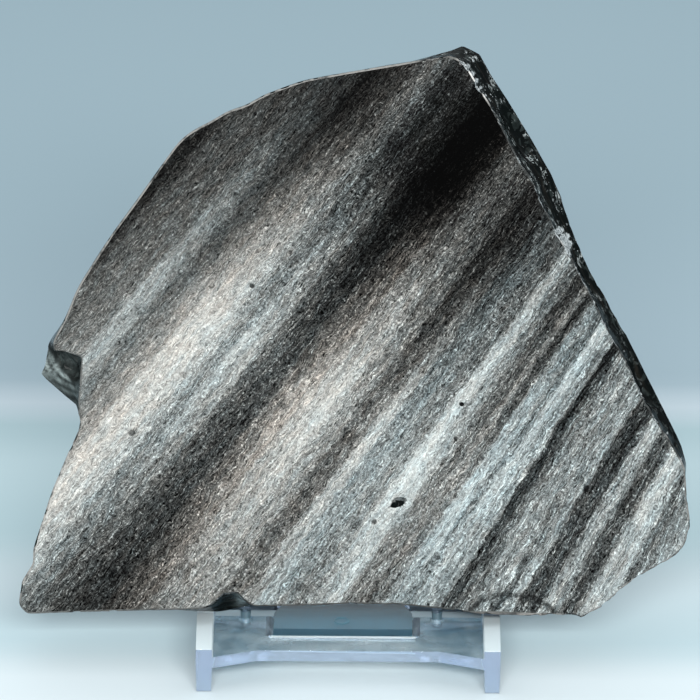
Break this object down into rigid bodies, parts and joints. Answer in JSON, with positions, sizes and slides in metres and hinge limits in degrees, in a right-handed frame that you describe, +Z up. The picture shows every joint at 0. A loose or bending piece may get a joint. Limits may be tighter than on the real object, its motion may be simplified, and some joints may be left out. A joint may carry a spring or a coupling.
{
  "type": "banded sheen obsidian slab on clear easel",
  "caption": "Irregular polished slab of banded silver sheen obsidian, leaning on a clear moulded easel for display on a shelf or table.",
  "frame": {"origin": "on the surface under the middle of the whole object's bounding box", "axes": "+Z up, +X to the viewer's right, -Y towards the viewer, the way the polished face looks"},
  "size_m": [0.1412, 0.0608, 0.1231],
  "materials": {
    "obsidian": "polished volcanic glass, banded charcoal and silver",
    "clear_plastic": "clear moulded plastic, faintly blue, glossy"
  },
  "bodies": {
    "root": {"obsidian_slab": "obsidian", "stand_frame": "clear_plastic", "stand_back_panel": "clear_plastic"}
  },
  "joints": []
}
